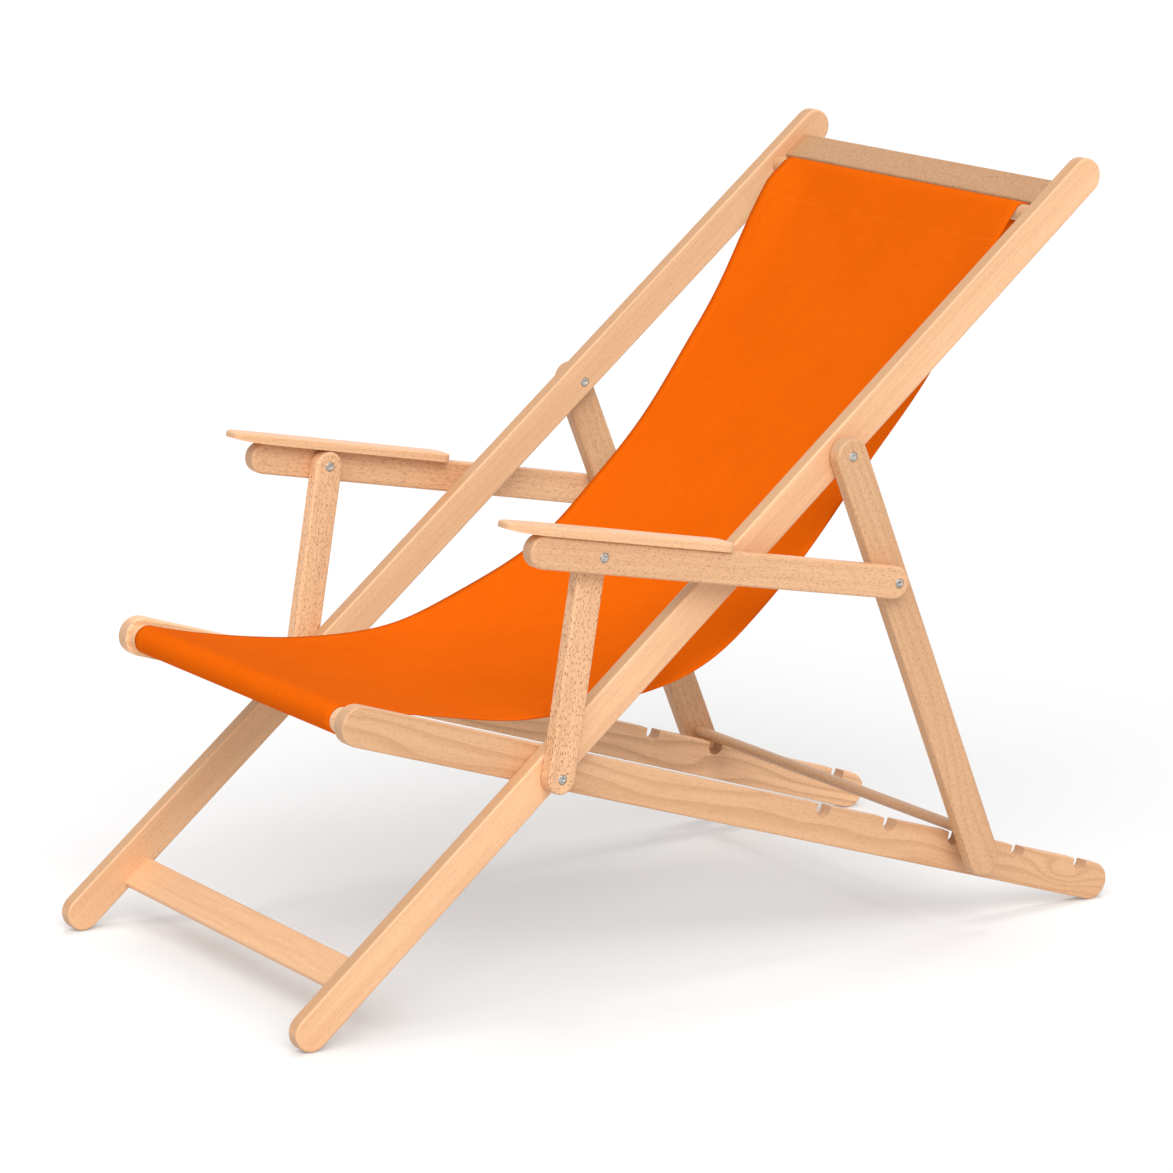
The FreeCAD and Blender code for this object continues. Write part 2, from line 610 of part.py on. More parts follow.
def mirrored_group(label, solids):
    copies = []
    for number, solid in enumerate(solids):
        copy = doc.addObject("Part::Mirroring", f"{label}_mirror_{number}")
        copy.Source = solid
        copy.Normal = FreeCAD.Vector(1, 0, 0)
        copies.append(copy)
    group = doc.addObject("Part::Compound", label)
    group.Links = solids + copies
    return keep(group, label)


head_seat = size("head_thick") + size("head_sink")
BOLT_RADIUS = "sizes.bolt_diameter / 2"
HEAD_RADIUS = "sizes.head_diameter / 2"


def pivot_set(name, centre, inner_face, outer_face):
    """A bolt with a sunk outer head, and a sunk sleeve nut that takes its inner end."""
    span = outer_face - inner_face - 2 * head_seat
    shank = disc(name + "_bolts", "shank", centre, 0.0, inner_face + head_seat, BOLT_RADIUS, f"{span}")
    head = disc(name + "_bolts", "head", centre, 0.0, outer_face - head_seat, HEAD_RADIUS, "sizes.head_thick")
    bolt = doc.addObject("Part::Fuse", name + "_bolt")
    bolt.Base = shank
    bolt.Tool = head
    mirrored_group(name + "_bolts", [bolt])
    nut_spot = inner_face + size("head_sink")
    nut = disc(name + "_nuts", "head", centre, 0.0, nut_spot, HEAD_RADIUS, "sizes.head_thick")
    mirrored_group(name + "_nuts", [nut])


def washer_group(name, centre, gaps):
    rings = []
    for number, face in enumerate(gaps):
        spot = face + (size("layer_gap") - size("washer_thick")) / 2
        plate = disc(name, f"plate_{number}", centre, 0.0, spot,
                     "sizes.washer_diameter / 2", "sizes.washer_thick")
        hole = disc(name, f"hole_{number}", centre, 0.0, spot,
                    "sizes.bolt_diameter / 2 + sizes.bolt_gap", "sizes.washer_thick")
        ring = doc.addObject("Part::Cut", f"{name}_ring_{number}")
        ring.Base = plate
        ring.Tool = hole
        rings.append(ring)
    mirrored_group(name, rings)


seat_gap, main_gap, post_gap = (layer + size("stock") for layer in (seat_layer, main_layer, post_layer))
arm_outer = arm_layer + size("stock")
pivot_set("main_pivot", main_pivot, seat_layer, post_gap)
washer_group("main_pivot_washers", main_pivot, [seat_gap, main_gap])
pivot_set("prop_pivot", prop_pivot, main_layer, post_gap)
washer_group("prop_pivot_washers", prop_pivot, [main_gap])
pivot_set("arm_pivot", post_pivot, post_layer, arm_outer)
washer_group("arm_pivot_washers", post_pivot, [post_gap])

# The pivot between leg and arm parts in the middle while the chair folds: one half stays in each timber.
half_span = size("stock") - head_seat
screw_shank = disc("arm_screws", "shank", arm_pivot, 0.0, arm_layer, BOLT_RADIUS, f"{half_span}")
screw_head = disc("arm_screws", "head", arm_pivot, 0.0, arm_outer - head_seat,
                  HEAD_RADIUS, "sizes.head_thick")
arm_screw = doc.addObject("Part::Fuse", "arm_screw")
arm_screw.Base = screw_shank
arm_screw.Tool = screw_head
mirrored_group("arm_screws", [arm_screw])
sleeve_shank = disc("leg_sleeves", "shank", arm_pivot, 0.0, post_layer + head_seat,
                    BOLT_RADIUS, f"{half_span}")
sleeve_head = disc("leg_sleeves", "head", arm_pivot, 0.0, post_layer + size("head_sink"),
                   HEAD_RADIUS, "sizes.head_thick")
leg_sleeve = doc.addObject("Part::Fuse", "leg_sleeve")
leg_sleeve.Base = sleeve_shank
leg_sleeve.Tool = sleeve_head
mirrored_group("leg_sleeves", [leg_sleeve])
washer_group("arm_screw_washers", arm_pivot, [post_gap])

# Dowels that hold the pads on the arm bars
dowel_x = arm_layer + size("stock") / 2
dowels = []
for number in range(len(dowel_places)):
    along = size("dowel_first") + number * size("dowel_pitch")
    bottom = size("arm_height") / 2 + size("dowel_depth") - size("dowel_length")
    start = moved(post_pivot, (along, bottom), arm_slope)
    dowel = doc.addObject("Part::Cylinder", f"pad_dowel_{number}")
    dowel.setExpression("Radius", "sizes.dowel_diameter / 2")
    dowel.setExpression("Height", "sizes.dowel_length")
    dowel.Placement = FreeCAD.Placement(
        FreeCAD.Vector(dowel_x, start[0], start[1]), FreeCAD.Rotation(FreeCAD.Vector(1, 0, 0), arm_slope))
    dowels.append(dowel)
mirrored_group("pad_dowels", dowels)


# Sling: one length of cloth from the rod at the top down to the front bar, hemmed round both.
# Its side view is a chain of tangent arcs: back, bend and seat, with a hem round each bar.
def arc_points(centre, radius, start, end):
    """Start, middle and end of an arc, with its angles in degrees."""
    angles = (start, (start + end) / 2, end)
    return [FreeCAD.Vector(*moved(centre, polar(radius, angle), 0.0), 0.0) for angle in angles]


def tangent_arc(point, normal, bar, bar_radius):
    """Radius of the arc that leaves a point square to its normal and meets a bar from outside."""
    away = (point[0] - bar[0], point[1] - bar[1])
    reach = away[0] * normal[0] + away[1] * normal[1]
    return (bar_radius ** 2 - away[0] ** 2 - away[1] ** 2) / (2 * (reach - bar_radius))


def angle_to(start, end):
    return math.degrees(math.atan2(end[1] - start[1], end[0] - start[0]))


half_cloth = size("sling_thick") / 2
low = moved(main_foot, (size("sling_low_along"), -size("sling_low")), main_slope)
bend_centre = moved(low, polar(size("sling_bend"), main_slope + 90), 0.0)
back_start_angle = main_slope - 90 + size("sling_back_turn")
back_start = moved(bend_centre, polar(size("sling_bend"), back_start_angle), 0.0)
back_normal = polar(1.0, back_start_angle + 180)
seat_start_angle = main_slope - 90 - size("sling_turn")
seat_start = moved(bend_centre, polar(size("sling_bend"), seat_start_angle), 0.0)
seat_normal = polar(1.0, seat_start_angle + 180)
rod_hem = size("rod_diameter") / 2 + size("sling_gap") + half_cloth
front_hem = size("front_bar_diameter") / 2 + size("sling_gap") + half_cloth
back_radius = tangent_arc(back_start, back_normal, rod_centre, rod_hem)
back_centre = moved(back_start, (back_normal[0] * back_radius, back_normal[1] * back_radius), 0.0)
seat_radius = tangent_arc(seat_start, seat_normal, front_bar_centre, front_hem)
seat_centre = moved(seat_start, (seat_normal[0] * seat_radius, seat_normal[1] * seat_radius), 0.0)
rod_meet = angle_to(rod_centre, back_centre)
front_meet = angle_to(front_bar_centre, seat_centre)


def cloth_arcs(offset):
    """The chain of arcs at a distance from the cloth's middle, towards the sitter."""
    return [
        arc_points(rod_centre, rod_hem + offset, rod_meet - size("sling_wrap"), rod_meet),
        arc_points(back_centre, back_radius - offset, rod_meet + 180, back_start_angle + 360),
        arc_points(bend_centre, size("sling_bend") - offset, back_start_angle, seat_start_angle),
        arc_points(seat_centre, seat_radius - offset, seat_start_angle, front_meet - 180),
        arc_points(front_bar_centre, front_hem + offset, front_meet, front_meet + size("sling_wrap")),
    ]


def chain(arcs):
    return [Part.Arc(*points).toShape() for points in arcs]


upper, under = cloth_arcs(half_cloth), cloth_arcs(-half_cloth)
ends = [
    Part.LineSegment(upper[0][0], under[0][0]).toShape(),
    Part.LineSegment(upper[-1][2], under[-1][2]).toShape(),
]
profile = Part.Face(Part.Wire(Part.__sortEdges__(chain(upper) + chain(under) + ends)))
sling = doc.addObject("Part::Feature", "sling")
sling.Shape = profile.extrude(FreeCAD.Vector(0, 0, 2 * size("sling_half")))
sling.Placement = FreeCAD.Placement(FreeCAD.Vector(-size("sling_half"), 0, 0), SIDEWAYS)
keep(sling, "sling")

doc.recompute()
for item in doc.Objects:
    if "Invalid" in item.State or "Error" in item.State:
        raise RuntimeError(f"{item.Name} failed: {item.State}")
os.makedirs("parts", exist_ok=True)
for piece in pieces:
    shape = piece.Shape
    if shape.isNull() or not shape.isValid() or shape.Volume <= 0:
        raise RuntimeError(f"{piece.Label} has no valid solid")
for piece in pieces:
    piece.Shape.exportStep(f"parts/{piece.Label}.step")
print(len(pieces), "pieces, main rail at", round(main_slope, 2), "degrees")
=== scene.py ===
import math
import bmesh
import bpy
from mathutils import Euler, Matrix, Vector


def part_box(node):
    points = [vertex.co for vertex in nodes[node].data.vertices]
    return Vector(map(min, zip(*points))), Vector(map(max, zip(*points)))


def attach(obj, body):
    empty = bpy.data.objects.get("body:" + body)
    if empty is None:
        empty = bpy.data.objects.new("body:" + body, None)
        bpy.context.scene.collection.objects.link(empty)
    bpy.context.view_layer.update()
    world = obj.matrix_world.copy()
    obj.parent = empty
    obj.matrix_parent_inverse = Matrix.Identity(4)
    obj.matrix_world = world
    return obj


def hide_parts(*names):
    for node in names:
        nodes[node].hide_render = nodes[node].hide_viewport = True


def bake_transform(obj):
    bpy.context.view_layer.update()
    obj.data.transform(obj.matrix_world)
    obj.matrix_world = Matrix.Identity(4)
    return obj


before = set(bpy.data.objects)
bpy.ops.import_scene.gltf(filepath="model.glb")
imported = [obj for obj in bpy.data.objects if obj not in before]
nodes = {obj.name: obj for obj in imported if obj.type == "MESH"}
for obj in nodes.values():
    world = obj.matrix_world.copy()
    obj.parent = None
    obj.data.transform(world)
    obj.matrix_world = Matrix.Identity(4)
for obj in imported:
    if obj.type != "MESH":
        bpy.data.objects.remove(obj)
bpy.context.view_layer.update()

scene = bpy.context.scene

# MAIN RAILS
# Two long rails of steamed beech, planed to 17 by 39 mm, with round ends and softened edges.
# They run from the front feet to the top of the back and are finished with a thin clear lacquer.
MAIN_WIDTH = 0.039
BEECH_PALE = (0.930, 0.560, 0.315, 1.0)
BEECH_DEEP = (0.700, 0.360, 0.180, 1.0)
BEECH_LATE = (0.540, 0.255, 0.115, 1.0)
BEECH_FLECK = (0.340, 0.125, 0.045, 1.0)
BEECH_END = (0.540, 0.330, 0.200, 1.0)
# Beech dark is the tone that tint moves a board towards, and also the painted shade on narrow faces.
BEECH_DARK = (0.450, 0.245, 0.118, 1.0)
TONE_SCALE = (1.8, 30.0, 30.0)
STREAK_SCALE = (5.0, 210.0, 210.0)
FIBRE_SCALE = (16.0, 1100.0, 1100.0)
RAY_SCALE = (250.0, 900.0, 900.0)
WANDER_SCALE = (2.6, 9.0, 9.0)
LOG_STRETCH = (0.03, 1.0, 1.0)
RING_WANDER = 7.0
EYE_SCALE = (16.0, 10.0, 55.0)
EYE_RISE = 1.7
GRAIN_DEPTH = 0.0006


class Shade:
    """A shader socket; an expression on it adds its own Math nodes."""

    def __init__(self, tree, socket=None):
        self.tree = tree
        self.socket = socket

    def node(self, kind, settings, inputs, output=0):
        """Adds a node: its settings come first, then the values or links of its sockets."""
        made = self.tree.nodes.new("ShaderNode" + kind)
        for name, value in settings.items():
            setattr(made, name, value)
        for name, value in inputs.items():
            if isinstance(value, Shade):
                self.tree.links.new(value.socket, made.inputs[name])
            else:
                made.inputs[name].default_value = value
        return Shade(self.tree, made.outputs[output])

    def maths(self, operation, first, second=0.0):
        return self.node("Math", {"operation": operation}, {0: first, 1: second})

    def __add__(self, other):
        return self.maths("ADD", self, other)

    __radd__ = __add__

    def __sub__(self, other):
        return self.maths("SUBTRACT", self, other)

    def __rsub__(self, other):
        return self.maths("SUBTRACT", other, self)

    def __mul__(self, other):
        return self.maths("MULTIPLY", self, other)

    __rmul__ = __mul__

    def __abs__(self):
        return self.maths("ABSOLUTE", self)

    def __mod__(self, pitch):
        return self.maths("FLOORED_MODULO", self, pitch)

    def between(self, low, high):
        """Nought below low, one above high, and smooth in between."""
        settings = {"interpolation_type": "SMOOTHSTEP"}
        return self.node("MapRange", settings, {"Value": self, "From Min": low, "From Max": high})

    def scaled(self, scale):
        return self.node("VectorMath", {"operation": "MULTIPLY"}, {0: self, 1: scale})

    def noise(self, scale, detail, output="Fac"):
        """Noise with its own scale along each axis of this vector."""
        inputs = {"Vector": self.scaled(scale), "Scale": 1.0, "Detail": detail}
        return self.node("TexNoise", {}, inputs, output)

    def mix(self, first, second):
        """A colour between two, with this value as the share of the second."""
        return self.node("Mix", {"data_type": "RGBA"}, {0: self, 6: first, 7: second}, 2)


def empty_material(name):
    material = bpy.data.materials.new(name)
    material.use_nodes = True
    tree = material.node_tree
    tree.nodes.clear()
    out = tree.nodes.new("ShaderNodeOutputMaterial")
    return material, Shade(tree), out


def toned(colour, tint):
    return tuple(one + (other - one) * tint for one, other in zip(colour, BEECH_DARK))


def beech(name, turn, heart, fleck=0.3, figure=0.12, ring=0.0042, tint=0.0, edge=0.0, eye=None):
    """Lacquered beech. Turn lays the grain along the x axis of the log, and heart is the way
    from the board to the middle of the log, so that every board shows another cut through the rings.
    Fleck is how dark the rays are, figure the growth rings, ring their width and tint the whole board.
    Edge is painted shade: it darkens the narrow faces as if they stood in shade. Eye is a place on the
    board where the rings bulge and show as ovals. Scales are counted in one metre, along the log and
    twice across it; wander and rise are counted in rings."""
    material, shade, out = empty_material(name)

    def in_log(output, kind, place):
        spot = shade.node("TexCoord", {}, {}, output)
        for rotation in turn[:-1]:
            spot = shade.node("Mapping", {"vector_type": kind}, {"Vector": spot, "Rotation": rotation})
        return shade.node("Mapping", {"vector_type": kind}, {"Vector": spot, "Rotation": turn[-1], **place})

    log = in_log("Object", "POINT", {"Location": heart})
    tone = log.noise(TONE_SCALE, 2.0)
    streak = log.noise(STREAK_SCALE, 3.0)
    fibre = log.noise(FIBRE_SCALE, 2.0)
    speck = log.noise(RAY_SCALE, 1.0)
    wander = log.noise(WANDER_SCALE, 2.0, "Color")
    settings = {"operation": "MULTIPLY_ADD"}
    sway = (0.0, RING_WANDER * ring, RING_WANDER * ring)
    bent = shade.node("VectorMath", settings, {0: wander, 1: sway, 2: log.scaled(LOG_STRETCH)})
    radius = shade.node("VectorMath", {"operation": "LENGTH"}, {0: bent}, "Value")
    if eye is not None:
        for rotation in turn:
            eye = Euler(rotation).to_matrix() @ eye
        from_eye = shade.node("VectorMath", {"operation": "SUBTRACT"}, {0: log, 1: eye + Vector(heart)})
        reach = shade.node("VectorMath", {"operation": "LENGTH"}, {0: from_eye.scaled(EYE_SCALE)}, "Value")
        radius = radius + EYE_RISE * ring * (1.0 - reach.between(0.0, 1.0))
    growth = (radius % ring) * (1.0 / ring)
    late = growth.between(0.4, 0.9) * (1.0 - growth.between(0.93, 1.0))
    pale = toned(BEECH_PALE, tint)
    deep = toned(BEECH_DEEP, tint)
    depth = 0.34 * tone.between(0.3, 0.7) + 0.2 * streak.between(0.35, 0.7) + 0.14 * fibre.between(0.4, 0.6)
    wood = depth.mix(pale, deep)
    wood = (figure * late).mix(wood, BEECH_LATE)
    rays = speck.between(0.56, 0.65) * fleck
    wood = rays.mix(wood, BEECH_FLECK)
    facing = in_log("Normal", "VECTOR", {})
    # Painted shade: faces that lie across the board's width, its narrow faces, are darkened by edge.
    narrow = abs(shade.node("SeparateXYZ", {}, {"Vector": facing}, "Z")).between(0.6, 0.95)
    wood = (edge * narrow).mix(wood, BEECH_DARK)
    end = abs(shade.node("SeparateXYZ", {}, {"Vector": facing}, "X")).between(0.5, 0.95)
    wood = (0.7 * end).mix(wood, BEECH_END)
    relief = 0.5 * fibre + 0.35 * streak - 0.5 * rays
    bump = shade.node("Bump", {}, {"Height": relief, "Strength": 0.16, "Distance": GRAIN_DEPTH}, "Normal")
    gloss = 0.42 + 0.14 * fibre + 0.18 * end
    shader = {"Base Color": wood, "Roughness": gloss, "Normal": bump, "Specular IOR Level": 0.35,
              "Coat Weight": 0.16, "Coat Roughness": 0.26}
    surface = shade.node("BsdfPrincipled", {}, shader)
    shade.tree.links.new(surface.socket, out.inputs["Surface"])
    return material


def slope_of(node, width):
    """The slope of a timber with round ends, from its box."""
    low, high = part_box(node)
    return math.atan2(high.z - low.z - width, high.y - low.y - width)


def along(slope):
    """Turns a timber of the chair's side to lie along x: first level, then round to x."""
    return ((-slope, 0.0, 0.0), (0.0, 0.0, -math.pi / 2.0))


def dress(node, material):
    nodes[node].data.materials.clear()
    nodes[node].data.materials.append(material)


def timber(node, turn, heart, **looks):
    """Dresses a piece in a cut of beech of its own."""
    dress(node, beech("beech_" + node, turn, heart, **looks))


main_slope = slope_of("main_rail_left", MAIN_WIDTH)
main_turn = along(main_slope)
# Edge here is painted shade, darkening the main rails' narrow faces.
quiet = {"figure": 0.06, "edge": 0.62}
timber("main_rail_left", main_turn, (0.3, 0.31, 0.06), fleck=0.13, tint=-0.08, **quiet)
timber("main_rail_right", main_turn, (1.7, -0.33, 0.08), fleck=0.2, tint=0.1, **quiet)

# TOP BAR AND BOTTOM SLAT
# Flat beech bars between the main rails, with stub tenons glued into the rails.
# The top bar stiffens the back above the sling, the slat keeps the front feet apart.
ACROSS = ((0.0, 0.0, 0.0),)
timber("top_bar", ACROSS, (0.9, 0.11, 0.2), fleck=0.6, figure=0.1, tint=0.85)
timber("bottom_slat", ACROSS, (2.3, 0.1, 0.16), fleck=0.15, figure=0.08, tint=-0.03)

# SLING ROD AND FRONT BAR
# Turned beech: a dowel under the top bar and a thicker bar between the seat rails' front ends.
# The sling's two hems run round them, so only their ends show.
timber("sling_rod", ACROSS, (0.2, 0.08, 0.5), figure=0.1, tint=0.45)
timber("front_bar", ACROSS, (0.6, 0.3, 0.09), figure=0.1)

# SEAT RAILS
# Flat-sawn beech with a bold figure, cut with a row of round notches near the rear feet.
# The prop bar rests over a pair of notches to set the recline.
SEAT_WIDTH = 0.041
EYE_FROM_TAIL = 0.062
EYE_FROM_FLOOR = 0.035
seat_turn = along(-slope_of("seat_rail_left", SEAT_WIDTH))
seat_low, seat_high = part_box("seat_rail_left")
tail_eye = Vector((seat_high.x, seat_high.y - EYE_FROM_TAIL, seat_low.z + EYE_FROM_FLOOR))
bold = {"fleck": 0.2, "figure": 0.42, "ring": 0.0058}
timber("seat_rail_left", seat_turn, (0.05, -0.262, 0.01), tint=0.3, eye=tail_eye, **bold)
# The right seat rail, on the side away from the camera, is toned paler than the left one: painted light,
# standing in for the light its inner face lacks in the shade under the cloth.
timber("seat_rail_right", seat_turn, (1.1, 0.27, 0.02), tint=-0.25, **bold)

# PROP FRAME
# Two beech legs that hang on the main rails, joined by an oval bar with round tenons.
# The bar lies across the seat rails and holds the back up.
PROP_WIDTH = 0.038
prop_turn = along(-slope_of("prop_leg_left", PROP_WIDTH))
plain = {"fleck": 0.4, "figure": 0.25, "ring": 0.006, "tint": 0.38}
timber("prop_leg_left", prop_turn, (0.7, -0.29, -0.02), **plain)
timber("prop_leg_right", prop_turn, (1.9, 0.33, 0.05), **plain)
timber("prop_bar", ACROSS, (0.15, -0.25, 0.035), tint=0.45)

# ARM POSTS
# Short upright links of beech cut along its rays, which show as rows of dark dashes.
# Each turns on the main pivot and carries the front of an arm.
POST_WIDTH = 0.032
post_turn = along(slope_of("arm_post_left", POST_WIDTH))
timber("arm_post_left", post_turn, (0.45, 0.05, 0.32), fleck=0.85, figure=0.08)
timber("arm_post_right", post_turn, (1.45, 0.03, 0.27), fleck=0.6, figure=0.1)

# ARMS
# Each arm is a beech bar on edge with a slim board dowelled on top of it for the forearm.
# The bar turns on the post in front and on the prop leg behind.
ARM_HEIGHT = 0.034
arm_slope = -slope_of("arm_bar_left", ARM_HEIGHT)
arm_turn = along(arm_slope)
timber("arm_bar_left", arm_turn, (0.62, -0.35, 0.03), fleck=0.4, tint=0.14)
timber("arm_bar_right", arm_turn, (1.62, 0.31, 0.02), fleck=0.4, tint=0.14)
timber("arm_pad_left", arm_turn, (0.82, 0.05, 0.36), fleck=0.22)
timber("arm_pad_right", arm_turn, (1.82, 0.06, 0.33), fleck=0.22)
timber("pad_dowels", along(arm_slope + math.pi / 2.0), (0.1, 0.2, 0.3))

# PIVOT BOLTS AND NUTS
# Zinc-plated furniture bolts with low domed heads, sunk flush in the timber and turned with a key.
# Each head has a rolled edge and a six-sided socket; a sleeve nut with the same head takes its other end.
ZINC = (0.580, 0.550, 0.510, 1.0)
ZINC_DULL = (0.290, 0.270, 0.245, 1.0)
HEAD_RADIUS = 0.005
HEAD_THICK = 0.0024
HEAD_DOME = 0.0004
SHANK_RADIUS = 0.003
SOCKET_HALF = 0.0021
SOCKET_DEPTH = 0.0014
SOCKET_SIDES = 6
EASE = 0.0001
ROUND_STEPS = 48
CREASE = 38.0
STOCK = 0.017
BOLT_SHORT = 0.004
SCREW_SHORT = 0.0006
NUT_LENGTH = 0.0036
PLATE_DEPTH = 0.0001


def zinc_plate(name):
    material, shade, out = empty_material(name)
    coords = shade.node("TexCoord", {}, {}, "Object")
    cloudy = shade.node("TexNoise", {}, {"Vector": coords, "Scale": 420.0, "Detail": 3.0})
    fine = shade.node("TexNoise", {}, {"Vector": coords, "Scale": 2600.0, "Detail": 2.0})
    dull = cloudy.between(0.35, 0.7)
    colour = dull.mix(ZINC, ZINC_DULL)
    bump = shade.node("Bump", {}, {"Height": fine, "Strength": 0.12, "Distance": PLATE_DEPTH}, "Normal")
    gloss = 0.22 + 0.2 * dull
    shader = {"Base Color": colour, "Metallic": 0.7, "Roughness": gloss, "Normal": bump}
    surface = shade.node("BsdfPrincipled", {}, shader)
    shade.tree.links.new(surface.socket, out.inputs["Surface"])
    return material


ZINC_PLATE = zinc_plate("zinc_plate")


def head_rings(length):
    """Radius and height of the rings of a head and shank, from the socket's floor out and down, and
    whether a ring has the socket's sides. Heights count from the head's flat face, and the ease is
    the unit of its softened edges."""
    return [
        (0.2 * SOCKET_HALF, -SOCKET_DEPTH - 3.0 * EASE, True),
        (0.96 * SOCKET_HALF, -SOCKET_DEPTH, True),
        (SOCKET_HALF, -SOCKET_DEPTH + EASE, True),
        (SOCKET_HALF, HEAD_DOME - 2.5 * EASE, True),
        (SOCKET_HALF + 2.0 * EASE, HEAD_DOME - 0.5 * EASE, True),
        (SOCKET_HALF + 7.0 * EASE, HEAD_DOME, False),
        (0.72 * HEAD_RADIUS, 0.78 * HEAD_DOME, False),
        (HEAD_RADIUS - 6.0 * EASE, 0.25 * HEAD_DOME, False),
        (HEAD_RADIUS - 2.0 * EASE, -EASE, False),
        (HEAD_RADIUS, -4.0 * EASE, False),
        (HEAD_RADIUS, -HEAD_THICK + 2.0 * EASE, False),
        (HEAD_RADIUS - 2.0 * EASE, -HEAD_THICK, False),
        (SHANK_RADIUS + 3.0 * EASE, -HEAD_THICK, False),
        (SHANK_RADIUS, -HEAD_THICK - 3.0 * EASE, False),
        (SHANK_RADIUS, -length + 4.0 * EASE, False),
        (SHANK_RADIUS - 4.0 * EASE, -length, False),
    ]


def head_mesh(mesh, spot, side, length):
    """Adds one bolt to a mesh. Spot is the middle of the head's flat face, side is +1 to face +X."""
    half_side = math.pi / SOCKET_SIDES
    rings = []
    for radius, height, keyed in head_rings(length):
        ring = []
        for step in range(ROUND_STEPS):
            angle = 2.0 * math.pi * step / ROUND_STEPS
            reach = radius
            if keyed:
                reach = radius / math.cos(angle % (2.0 * half_side) - half_side)
            point = (side * height, reach * math.cos(angle), reach * math.sin(angle))
            ring.append(mesh.verts.new(spot + Vector(point)))
        rings.append(ring)
    for inner, outer in zip(rings, rings[1:]):
        for step in range(ROUND_STEPS):
            after = (step + 1) % ROUND_STEPS
            mesh.faces.new((inner[step], inner[after], outer[after], outer[step]))
    mesh.faces.new(rings[0])
    mesh.faces.new(list(reversed(rings[-1])))


def bolt_pair(name, node, body, length, outward):
    """The two bolts of a pivot. Outward heads face away from the chair's middle."""
    low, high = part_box(node)
    middle = (low + high) / 2.0
    mesh = bmesh.new()
    for flank in (1.0, -1.0):
        if outward:
            spot = Vector((flank * high.x, middle.y, middle.z))
            head_mesh(mesh, spot, flank, length)
        else:
            inner = min(abs(vertex.co.x) for vertex in nodes[node].data.vertices)
            spot = Vector((flank * inner, middle.y, middle.z))
            head_mesh(mesh, spot, -flank, length)
    bmesh.ops.recalc_face_normals(mesh, faces=mesh.faces)
    data = bpy.data.meshes.new(name)
    mesh.to_mesh(data)
    mesh.free()
    piece = bpy.data.objects.new(name, data)
    scene.collection.objects.link(piece)
    data.materials.append(ZINC_PLATE)
    for face in data.polygons:
        face.use_smooth = True
    crease = piece.modifiers.new("edges", "EDGE_SPLIT")
    crease.split_angle = math.radians(CREASE)
    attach(piece, body)
    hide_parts(node)


# A bolt ends short of the far face of the timbers that it goes through, to leave room for its nut.
through_three = 3.0 * STOCK - BOLT_SHORT
through_two = 2.0 * STOCK - BOLT_SHORT
through_one = STOCK - SCREW_SHORT
bolt_pair("main_pivot_bolt_heads", "main_pivot_bolts", "main_frame", through_three, True)
bolt_pair("main_pivot_nut_heads", "main_pivot_nuts", "main_frame", NUT_LENGTH, False)
bolt_pair("prop_pivot_bolt_heads", "prop_pivot_bolts", "main_frame", through_two, True)
bolt_pair("prop_pivot_nut_heads", "prop_pivot_nuts", "main_frame", NUT_LENGTH, False)
bolt_pair("arm_pivot_bolt_heads", "arm_pivot_bolts", "arm_posts", through_two, True)
bolt_pair("arm_pivot_nut_heads", "arm_pivot_nuts", "arm_posts", NUT_LENGTH, False)
bolt_pair("arm_screw_heads", "arm_screws", "armrests", through_one, True)
bolt_pair("leg_sleeve_heads", "leg_sleeves", "prop_frame", through_one, False)

# WASHERS
# Thin zinc-plated rings, stamped from sheet, that lie loose on the bolts between two timbers.
# They keep the lacquered faces from rubbing as the chair folds, and are hardly seen from outside.
for washer in ("main_pivot_washers", "prop_pivot_washers", "arm_pivot_washers", "arm_screw_washers"):
    dress(washer, ZINC_PLATE)

# SLING
# One length of heavy orange cotton canvas. A sewn hem at each end holds the rod and the front bar,
# the side edges are turned over and stitched, and the cloth hangs in a long curve between the bars.
CANVAS = (0.810, 0.130, 0.0025, 1.0)
CANVAS_SHADE = (0.660, 0.096, 0.0018, 1.0)
CANVAS_THREAD = (0.900, 0.185, 0.010, 1.0)
CLOTH_HALF = 0.206
CLOTH_THICK = 0.0016
CLOTH_OFF_BAR = 0.0013
ROD_RADIUS = 0.009
BAR_RADIUS = 0.013
ROD_WRAP = ROD_RADIUS + CLOTH_OFF_BAR
BAR_WRAP = BAR_RADIUS + CLOTH_OFF_BAR
LOW_ALONG = 0.679
LOW_DROP = 0.089
BEND_RADIUS = 0.408
BEND_TURN = 41.8
BACK_TURN = 4.5
SEAM = 0.034
FLAP = 0.014
FLAP_GAP = 1.15 * CLOTH_THICK
FLAP_STEPS = 3
SIDE_STEPS = 56
STEP = 0.009
BAR_STEPS = 20
BAR_LIMIT = 0.05


def turned(point, degrees):
    cosine = math.cos(math.radians(degrees))
    sine = math.sin(math.radians(degrees))
    return Vector((point[0] * cosine - point[1] * sine, point[0] * sine + point[1] * cosine))


def polar(length, degrees):
    return turned((length, 0.0), degrees)


def angle_of(vector):
    return math.degrees(math.atan2(vector.y, vector.x))


def middle_of(node):
    low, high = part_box(node)
    return Vector(((low.y + high.y) / 2.0, (low.z + high.z) / 2.0))


